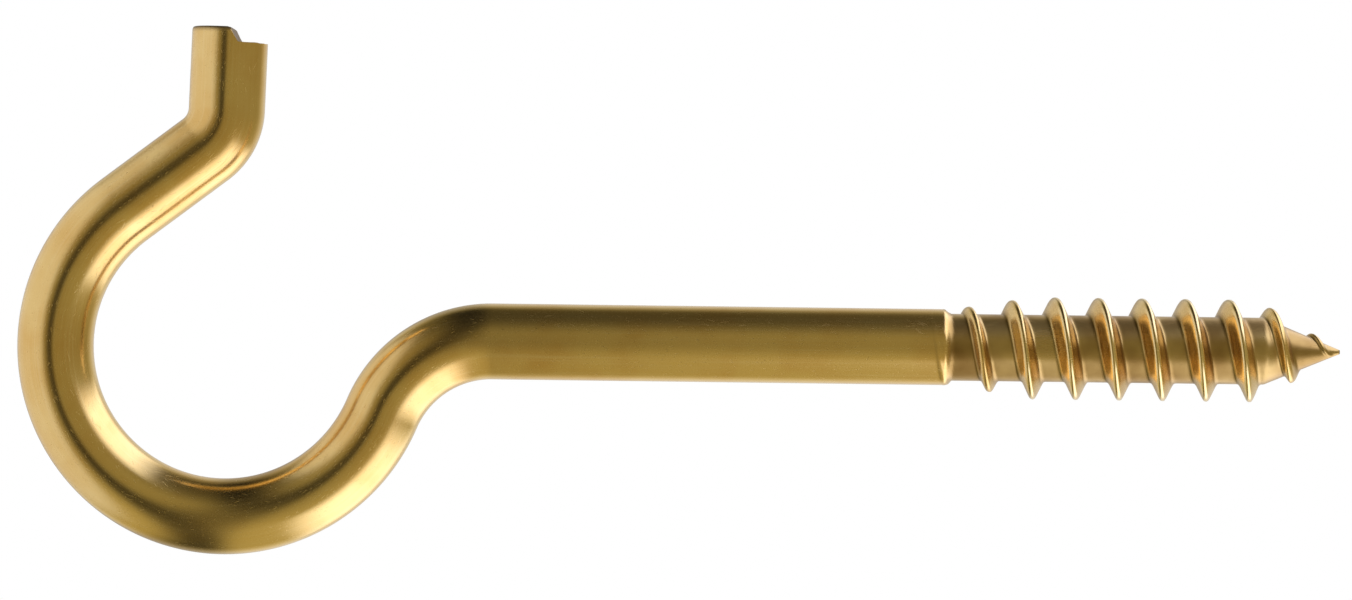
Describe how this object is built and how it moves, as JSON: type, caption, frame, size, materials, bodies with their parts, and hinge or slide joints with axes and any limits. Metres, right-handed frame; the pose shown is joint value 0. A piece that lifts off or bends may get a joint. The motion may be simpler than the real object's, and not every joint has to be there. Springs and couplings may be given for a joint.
{
  "type": "ceiling hook",
  "caption": "Screw hook in bent round wire: a threaded, pointed shank that drives into a ceiling joist, and an open bowl with a turned-out tip that carries a lamp, a plant or a cable.",
  "frame": {"origin": "on the screw axis, in the face of the ceiling that the hook is driven into, where the thread starts", "axes": "+Z along the screw axis, up into the ceiling, towards the point; the bends lie in the XZ plane, with the neck leaning to +X and the mouth and tip on -X"},
  "size_m": [0.032, 0.0062, 0.0801],
  "materials": {
    "brass_plating": "bright yellow brass plating with fine lengthwise drawing marks and slight tarnish"
  },
  "bodies": {
    "root": {"screw_hook": "brass_plating"}
  },
  "joints": []
}
